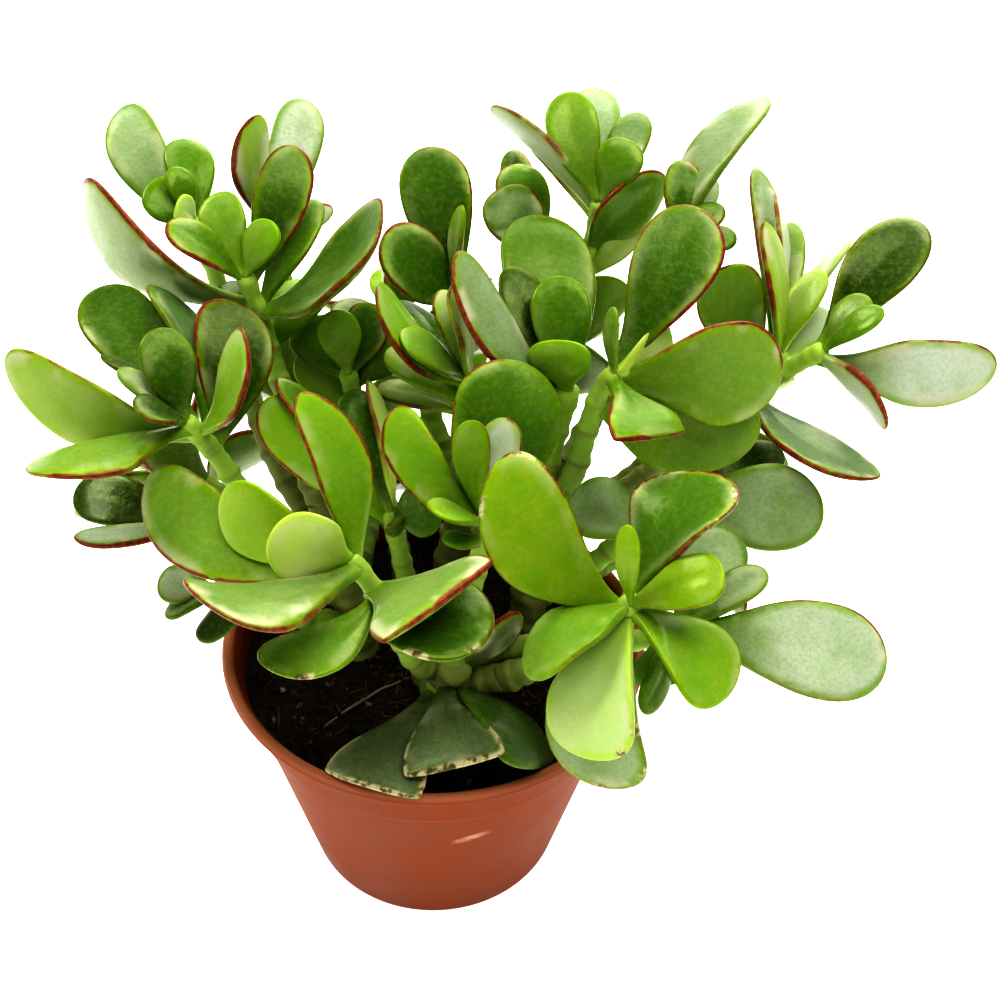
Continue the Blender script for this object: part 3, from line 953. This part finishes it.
             arch=0.03, bend=0.09, wide=0.61, blunt=2.2, taper=2.6, finish="light", red=0.35),
        dict(down=12, tip=(153, 285), ahead=-9, width=18.4, face=54,
             arch=0.09, bend=-0.05, blunt=2.9, finish="blue", red=0.3),
        dict(down=14, tip=(224, 299), ahead=-5, width=23, face=0, bend=-0.1, finish="shade", red=0.85),
    ],
    "left_low": [
        dict(down=2, tip=(75, 490), ahead=-6, width=18, face=20, bend=0.04, finish="shade", red=0.2),
        dict(down=4, tip=(74, 539), ahead=17, width=13.4, face=61,
             arch=-0.03, bend=0.05, cup=0.12, blunt=2.9, taper=1.4, finish="pale", red=0.8),
    ],
    "left_under": [
        dict(down=1, tip=(157, 585), ahead=4, width=13, face=30, finish="pale", red=0.2),
        dict(down=3, tip=(166, 618), ahead=8, width=10, face=60, finish="blue", red=0.1),
        dict(down=5, tip=(228, 632), ahead=14, width=22, face=50, finish="shade", red=0.1),
    ],
    "inner_left": [
        dict(down=2, tip=(368, 380), ahead=4, width=9, face=60, finish="lit", red=0.8),
        dict(down=2, tip=(350, 390), ahead=0, width=16, face=0, finish="dark", red=0.2),
        dict(down=10, tip=(276, 379), ahead=18, width=14, face=50, finish="deep", red=0.7),
        dict(down=12, tip=(408, 512), ahead=12, width=14, finish="dark", red=0.2),
        dict(down=6, tip=(262, 402), ahead=16, width=20, face=0, finish="fresh", red=0.6),
        dict(down=4, tip=(440, 505), ahead=14, width=16, face=0, finish="dark", red=0.1),
    ],
    "inner_back": [
        dict(down=1, tip=(334, 310), ahead=10, width=13, face=0, finish="green", red=0.3),
        dict(down=3, tip=(372, 303), ahead=3, width=15, face=20, finish="dark", red=0.7),
        dict(down=5, tip=(303, 322), ahead=-4, width=18, face=10, finish="deep", red=0.3),
        dict(down=5, tip=(355, 298), ahead=-19, width=16, face=0, finish="shade", red=0.3),
        dict(down=9, tip=(392, 330), ahead=2, width=18, face=0, finish="deep", red=0.1),
        dict(down=22, tip=(300, 352), ahead=14, width=16, face=10, finish="light", red=0.1),
    ],
}
# The shoots that no picture shows: how many pairs, their size, how far round the first pair stands, and
# the leaves that have fallen. Then the pairs themselves, from the youngest down, and the finishes: the
# colours of a leaf's upper and lower side and the share of bloom on it.
ROSETTES = {
    "rear_centre": dict(pairs=5, size=0.9, phase=10, without=(6, 9)),
    "rear_right": dict(pairs=5, size=0.9, phase=50, without=(6,)),
    "rear_low": dict(pairs=4, size=0.9, phase=0, without=(4, 6)),
    "rear_left": dict(pairs=5, size=0.9, phase=30, without=(8,)),
    "rear_far_right": dict(pairs=5, size=0.9, phase=70, without=()),
    "rear_side": dict(pairs=4, size=0.9, phase=20, without=()),
    "rear_right_side": dict(pairs=4, size=0.8, phase=60, without=(6,)),
    "rear_left_low": dict(pairs=4, size=0.85, phase=60, without=(6,)),
}
ROSETTE_PAIRS = [
    dict(down=1, length=20, incline=22, ratio=0.42, finish="young"),
    dict(down=4, length=30, incline=42, ratio=0.5, finish="fresh"),
    dict(down=9, length=40, incline=60, ratio=0.55, finish="green"),
    dict(down=17, length=46, incline=74, ratio=0.58, finish="deep"),
    dict(down=28, length=48, incline=84, ratio=0.58, finish="blue"),
]
LEAF_FINISHES = {
    "bright": ("#b0c85e", "#a8bc56", 0.4),
    "light": ("#96ae36", "#90a63c", 0.2),
    "young": ("#829c12", "#8ca42c", 0.04),
    "fresh": ("#7a9a0c", "#809a20", 0.06),
    "green": ("#6f8c18", "#768c2a", 0.1),
    "deep": ("#567806", "#6a821e", 0.04),
    "full": ("#4a6a02", "#607818", 0.035),
    "dark": ("#3e5e00", "#566e18", 0.03),
    "shade": ("#263e00", "#3c520e", 0.02),
    "sunlit": ("#667e22", "#6e862a", 0.17),
    "lit": ("#c6d86c", "#bccc66", 0.3),
    "pearl": ("#b6c690", "#b6c690", 1.0),
    "dull": ("#424e20", "#525e32", 0.22),
    "silver": ("#84985c", "#8a9a66", 1.0),
    "pale": ("#68842c", "#768a3e", 0.8),
    "grey": ("#607a26", "#728442", 0.42),
    "blue": ("#4a6a1c", "#5e762e", 0.2),
}
LEAF_NECK = 0.2
LEAF_SIDES = 36
LEAF_END = 0.982
LEVEL = 86
NECK_GREEN = np.array(linear("#9dbb4e")[:3])


def golden(k):
    """A repeatable number between -1 and 1: the fraction of k times the golden ratio, stretched."""
    return 2 * ((k * 0.6180339887) % 1) - 1


def leaf_skin(root, tip, normal, width, finish, red, arch=0.05, bend=0.0, wide=0.66, cup=0.15, taper=1.7,
              blunt=2.5, scar=0, seed=0):
    """A leaf's skin on a grid of t, from root to tip, and the angle a round its section.

    Half-width: from the neck's fifth it grows as sin(90 t/wide)^taper to the widest place, then falls as
    sqrt(1 - past^blunt), and wavers by 2%. Half-thickness: 1.3 mm + 3.5% of the width, thinner at the
    root, and falling as sqrt(1 - past^blunt) to the tip. The section is a pillow, x = cos a and
    |z| = |sin a|^0.7, dished by `cup`, with a shallow groove down its middle. The middle line is a
    parabola that rises by `arch` and `bend` of the length, and the blade twists by up to 7 degrees.

    Each point also carries its colour, its distance from the margin in millimetres, how red and how
    bloomed it is, and how scarred, which starts halfway to the tip."""
    along = tip - root
    length = np.linalg.norm(along)
    along = along / length
    side = np.cross(normal, along)
    beyond = np.sin(np.linspace(0, LEAF_END * np.pi / 2, 20))
    t = np.concatenate([np.linspace(0, wide, 17)[:-1], wide + (1 - wide) * beyond])
    past = np.clip((t - wide) / (1 - wide), 0, 1)
    spread = np.where(
        t < wide, LEAF_NECK + (1 - LEAF_NECK) * np.sin(np.pi / 2 * np.clip(t / wide, 0, 1)) ** taper,
        np.sqrt(1 - past ** blunt))
    plump = np.where(t < 0.4, 0.75 + 0.25 * t / 0.4, np.sqrt(1 - np.clip((t - 0.4) / 0.6, 0, 1) ** blunt))
    hump = (4 * t * (1 - t) * length)[:, None]
    middle = root + (t * length)[:, None] * along + arch * hump * normal + bend * hump * side
    angle = 2 * np.pi * np.arange(LEAF_SIDES) / LEAF_SIDES
    x = np.cos(angle)
    z = np.sign(np.sin(angle)) * np.abs(np.sin(angle)) ** 0.7
    swing = np.sin(np.pi * t)[:, None]
    waver = 1 + 0.022 * swing * np.sin(9 * t[:, None] + 5 * golden(seed) + 2 * np.sign(x))
    groove = -0.22 * swing * np.exp(-(x / 0.16) ** 2) * (z > 0)
    lie = 0.012 * width * swing * np.sin(5.5 * t[:, None] + 3 * x + 6 * golden(seed + 2))
    dish = cup * width / 2 * (spread[:, None] * x) ** 2 * swing
    half = width / 2 * spread
    out = half[:, None] * x * waver
    rise = (1.3 + 0.035 * width) * plump[:, None] * z + dish + groove + lie
    twist = np.radians(7 * golden(seed + 4)) * t[:, None] * swing
    out, rise = out * np.cos(twist) - rise * np.sin(twist), out * np.sin(twist) + rise * np.cos(twist)
    places = middle[:, None] + out[..., None] * side + rise[..., None] * normal
    slope = np.gradient(half, t * length)
    margin = half[:, None] * (1 - np.abs(x)) / np.sqrt(1 + slope[:, None] ** 2)
    margin = np.minimum(margin, 1.2 * (1 - t[:, None]) * length + 0 * x)
    upper, lower, bloom = LEAF_FINISHES[finish]
    share = np.clip(0.5 + 1.6 * z, 0, 1)[None, :, None]
    tone = (1 + 0.12 * golden(seed + 1)) * (0.8 + 0.34 * t)[:, None, None]
    green = tone * (np.array(linear(lower)[:3]) * (1 - share) + np.array(linear(upper)[:3]) * share)
    neck_share = 0.6 * np.exp(-(t / 0.11) ** 2)[:, None, None]
    green = green + (NECK_GREEN - green) * neck_share
    toward_end = np.clip((t[:, None] - 0.12) / 0.4, 0, 1)
    redness = red * toward_end * (0.75 + 0.25 * np.clip(4 * x, -1, 1) * np.sign(golden(seed + 6)))
    damage = scar * np.clip((t[:, None] - 0.5) / 0.2, 0, 1) + 0 * x
    values = np.stack([margin, redness, bloom * toward_end + 0 * margin, damage], -1)
    return closed_skin(np.concatenate([places, green, values], -1))


def square_off(vector, axis):
    """The part of a vector that stands square to an axis, one long."""
    return unit(vector - (vector @ axis) * axis)


def turned_about(vector, axis, angle):
    """A vector square to an axis, turned about it."""
    return vector * np.cos(angle) + np.cross(axis, vector) * np.sin(angle)


def seen_leaf(line, row, seed):
    """A leaf whose tip is seen at a pixel, `ahead` nearer the eye than its root. Its upper side faces the
    eye, turned by `face`, or else the growing tip, turned by `turn`."""
    root = at(line, row["down"])
    tip = sight_point(row["tip"], (root - EYE) @ sight - row["ahead"])
    along = unit(tip - root)
    if "face" in row:
        outlook, turned = EYE - root, row["face"]
    else:
        outlook, turned = toward_tip(line, row["down"]), row.get("turn", 0)
    normal = turned_about(square_off(outlook, along), along, np.radians(turned))
    placing = ("down", "tip", "ahead", "face", "turn")
    shape = {key: value for key, value in row.items() if key not in placing}
    return leaf_skin(root, tip, normal, seed=seed, **shape)


def rosette_leaves(line, rosette, seed):
    """The leaves of a shoot that no picture shows: pairs down the stem, each a quarter turn from the
    last, leaning further out and growing larger with age. Leaf `half` of pair i stands at phase + 90 i
    + 180 half degrees round the stem, and is turned, tilted, sized and twisted a little by `golden`."""
    skins = []
    for i, pair in enumerate(ROSETTE_PAIRS[:rosette["pairs"]]):
        for half in range(2):
            key = seed + 2 * i + half
            if 2 * i + half in rosette["without"]:
                continue
            root, axis = at(line, pair["down"]), toward_tip(line, pair["down"])
            across = unit(np.cross(axis, [0.02, 0.01, 1.0]))
            third = np.cross(across, axis)
            around = np.radians(rosette["phase"] + 90 * (i % 2) + 180 * half + 12 * golden(key))
            incline = np.radians(pair["incline"] + 8 * golden(key + 7))
            along = unit(axis * np.cos(incline) + np.sin(incline) * (
                across * np.cos(around) + third * np.sin(around)))
            length = rosette["size"] * pair["length"] * (1 + 0.1 * golden(key + 3))
            outlook = axis if incline < np.radians(LEVEL) else np.array([0, 0, 1.0])
            normal = turned_about(square_off(outlook, along), along, np.radians(14 * golden(key + 5)))
            skins.append(leaf_skin(
                root, root + along * length, normal, length * pair["ratio"], pair["finish"],
                0.45 + 0.4 * golden(key + 2), arch=-0.05 + 0.04 * i, seed=key))
    return skins


# The leaf's finish: a thin coat of wax over a translucent skin and wet flesh. It mottles softly, carries
# dark dots, and glows yellow-green near the margin, where the red and the corky scars run. Bloom greys
# old leaves in patches, and catches the light along their rim.
DOT_SPACING = 1.5
leaf_finish, leaf_tree, leaf_shader = new_finish(
    "waxy_jade_leaf", Roughness=0.4, IOR=1.45, Subsurface_Weight=0.22, Subsurface_Scale=0.0022,
    Subsurface_Radius=(0.5, 1.0, 0.15), Specular_IOR_Level=0.36, Specular_Tint=(0.8, 1.0, 0.2, 1.0),
    Coat_Weight=0.15, Coat_Roughness=0.14, Sheen_Weight=0.12, Sheen_Roughness=0.35,
    Sheen_Tint=(0.95, 1.0, 0.85, 1.0))
leaf_place = add_node(leaf_tree, "TexCoord").outputs["Object"]
flesh = add_node(leaf_tree, "Attribute", attribute_name="green").outputs["Color"]
margin, red, bloom, scar = (
    add_node(leaf_tree, "Attribute", attribute_name=value).outputs["Fac"]
    for value in ("margin", "red", "bloom", "scar"))
dots = add_node(leaf_tree, "TexVoronoi", {
    "Vector": leaf_place, "Scale": 1 / (DOT_SPACING * MM)}).outputs["Distance"]

# Soft noises over the leaf: the size of their lumps in millimetres, their detail and their roughness.
LEAF_NOISES = {
    "mottle": (9.0, 3.0, 0.5), "grain": (1.6, 4.0, 0.6), "bloom_patches": (12.0, 2.0, 0.5),
    "bloom_dust": (1.1, 5.0, 0.75), "rim_patches": (13.0, 2.0, 0.5), "red_patches": (6.0, 2.0, 0.5),
    "scar_patches": (8.0, 5.0, 0.6), "scar_flecks": (3.0, 4.0, 0.5), "pebbles": (0.9, 3.0, 0.5),
    "dimples": (3.5, 2.0, 0.5)}
noise = {
    name: add_node(leaf_tree, "TexNoise", {
        "Vector": leaf_place, "Scale": 1 / (size * MM), "Detail": detail,
        "Roughness": roughness}).outputs[0]
    for name, (size, detail, roughness) in LEAF_NOISES.items()}


def share_of(*factors):
    """The product of factors, each a socket or (source, low, high, at_low, at_high): the source held
    between low and high and eased from at_low to at_high."""
    product = None
    for factor in factors:
        if isinstance(factor, tuple):
            source, low, high, at_low, at_high = factor
            factor = add_node(leaf_tree, "MapRange", {
                "Value": source, "From Min": low, "From Max": high,
                "To Min": at_low, "To Max": at_high}, interpolation_type="SMOOTHSTEP").outputs[0]
        product = factor if product is None else add_node(
            leaf_tree, "Math", {0: product, 1: factor}, operation="MULTIPLY").outputs[0]
    return product


# The red runs in from the margin further where it is stronger, and the scars are bits of the margin,
# which join up on an old leaf's rim.
redness = share_of(red, (noise["red_patches"], 0.3, 0.6, 0.45, 1.0))
red_reach = add_node(leaf_tree, "Math", {0: redness, 1: 1.9, 2: 0.08}, operation="MULTIPLY_ADD")
red_run = add_node(leaf_tree, "Math", {0: margin, 1: red_reach.outputs[0]}, operation="DIVIDE")
red_colour = add_node(leaf_tree, "Mix", {
    0: share_of((noise["grain"], 0.4, 0.65, 0.0, 1.0)),
    6: linear("#6c1018"), 7: linear("#96283a")}, data_type="RGBA")
scar_bits = add_node(leaf_tree, "Math", {
    0: noise["scar_patches"], 1: share_of((scar, 1.0, 2.0, 0.0, 0.2))}, operation="ADD")
scar_colour = add_node(leaf_tree, "Mix", {
    0: share_of((noise["scar_flecks"], 0.38, 0.52, 0.0, 1.0)),
    6: linear("#5e4632"), 7: linear("#cdbf9c")}, data_type="RGBA")

# What lies over the flesh, one over another: its share and its colour.
soft_mottle = add_node(leaf_tree, "Mix", {
    0: share_of((noise["mottle"], 0.35, 0.65, 0.0, 0.5)), 6: flesh, 7: linear("#8fae22")},
    data_type="RGBA", blend_type="SOFT_LIGHT")
flesh = soft_mottle.outputs[2]
LAYERS = {
    "grain": (share_of((noise["grain"], 0.4, 0.7, 0.0, 0.1)), linear("#b4cf58")),
    "dots": (share_of((dots, 0.06, 0.22, 0.22, 0.0)), linear("#3f6a12")),
    "glow": (share_of((margin, 0.3, 3.6, 0.55, 0.0), (red, 0.0, 0.8, 0.15, 1.0)), linear("#98b01a")),
    "bloom": (share_of(
        bloom, (noise["bloom_patches"], 0.3, 0.6, 0.7, 1.0), (noise["bloom_dust"], 0.35, 0.6, 0.7, 1.0),
        (margin, 0.6, 3.4, 0.15, 1.0)), linear("#c0c7b6")),
    "rim": (share_of(
        (margin, 0.5, 1.2, 0.0, 1.0), (margin, 1.2, 5.5, 1.0, 0.0), (bloom, 0.02, 0.2, 0.3, 1.0),
        (red, 0.0, 0.6, 0.35, 1.0), (noise["rim_patches"], 0.46, 0.6, 0.0, 0.8)), linear("#cdc4ae")),
    "red": (share_of(
        (red_run.outputs[0], 0.35, 1.0, 1.0, 0.0),
        (redness, 0.02, 0.5, 0.0, 0.92)), red_colour.outputs[2]),
    "scar": (share_of(
        (scar, 0.0, 1.0, 0.0, 1.0), (scar_bits.outputs[0], 0.51, 0.6, 0.0, 1.0),
        (margin, 0.5, 2.2, 0.85, 0.0)), scar_colour.outputs[2]),
}
for share, colour in LAYERS.values():
    flesh = add_node(leaf_tree, "Mix", {0: share, 6: flesh, 7: colour}, data_type="RGBA").outputs[2]
leaf_tree.links.new(flesh, leaf_shader.inputs["Base Color"])
leaf_rough = add_node(leaf_tree, "Math", {
    0: bloom, 1: 0.2, 2: share_of((noise["mottle"], 0.3, 0.7, 0.24, 0.36))}, operation="MULTIPLY_ADD")
leaf_tree.links.new(leaf_rough.outputs[0], leaf_shader.inputs["Roughness"])
pebbles = add_node(leaf_tree, "Bump", {
    "Height": noise["pebbles"], "Strength": 0.5, "Distance": 0.00016})
dimples = add_node(leaf_tree, "Bump", {
    "Height": noise["dimples"], "Strength": 0.35, "Distance": 0.0004, "Normal": pebbles.outputs[0]})
leaf_tree.links.new(dimples.outputs[0], leaf_shader.inputs["Normal"])


# The plant put together: a piece for each trunk, with the woody first stretch of the shoots that it
# carries, and a piece for each shoot, its stem fused with its leaves. Nothing is fixed by hand: each
# grows from the one before.
PLANT_FINISHES = [bark, leaf_finish]
BARK, LEAF = 0, 1
stubs = {name: [] for name in TRUNKS}
for index, (name, branch) in enumerate(BRANCHES.items()):
    line = stem_line(branch)
    length = line[1][-1]
    if name in LEAVES:
        leaf_downs = [row["down"] for row in LEAVES[name]]
        leaves = [seen_leaf(line, row, 10 * index + number) for number, row in enumerate(LEAVES[name])]
    else:
        leaf_downs = [pair["down"] for pair in ROSETTE_PAIRS[:ROSETTES[name]["pairs"]]]
        leaves = rosette_leaves(line, ROSETTES[name], 10 * index)
    wood_end = length - branch["wood"] if branch["wood"] else 0
    rings = [*leaf_downs, *np.arange(max(leaf_downs) + FIRST_RING, length, RING_STEP)]
    leaf_skins = [(leaf, LEAF) for leaf in leaves]
    if branch["trunk"]:
        stubs[branch["trunk"]].append((shoot_stem(line, branch, length, wood_end, rings), BARK))
    if branch["trunk"] and not branch["wood"]:
        stubs[branch["trunk"]] += leaf_skins
        continue
    stem_end = wood_end + JOINT if branch["wood"] else length
    stem = shoot_stem(line, branch, stem_end, 0, rings, foot=not branch["trunk"])
    shoot = living_piece("grown_" + name, [(stem, BARK), *leaf_skins], PLANT_FINISHES)
    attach(shoot, "root")
    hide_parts("shoot_" + name)

for name, trunk in TRUNKS.items():
    wood = living_piece("wood_" + name, [(trunk_skin(trunk), BARK), *stubs[name]], PLANT_FINISHES)
    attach(wood, "root")
    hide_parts("trunk_" + name)
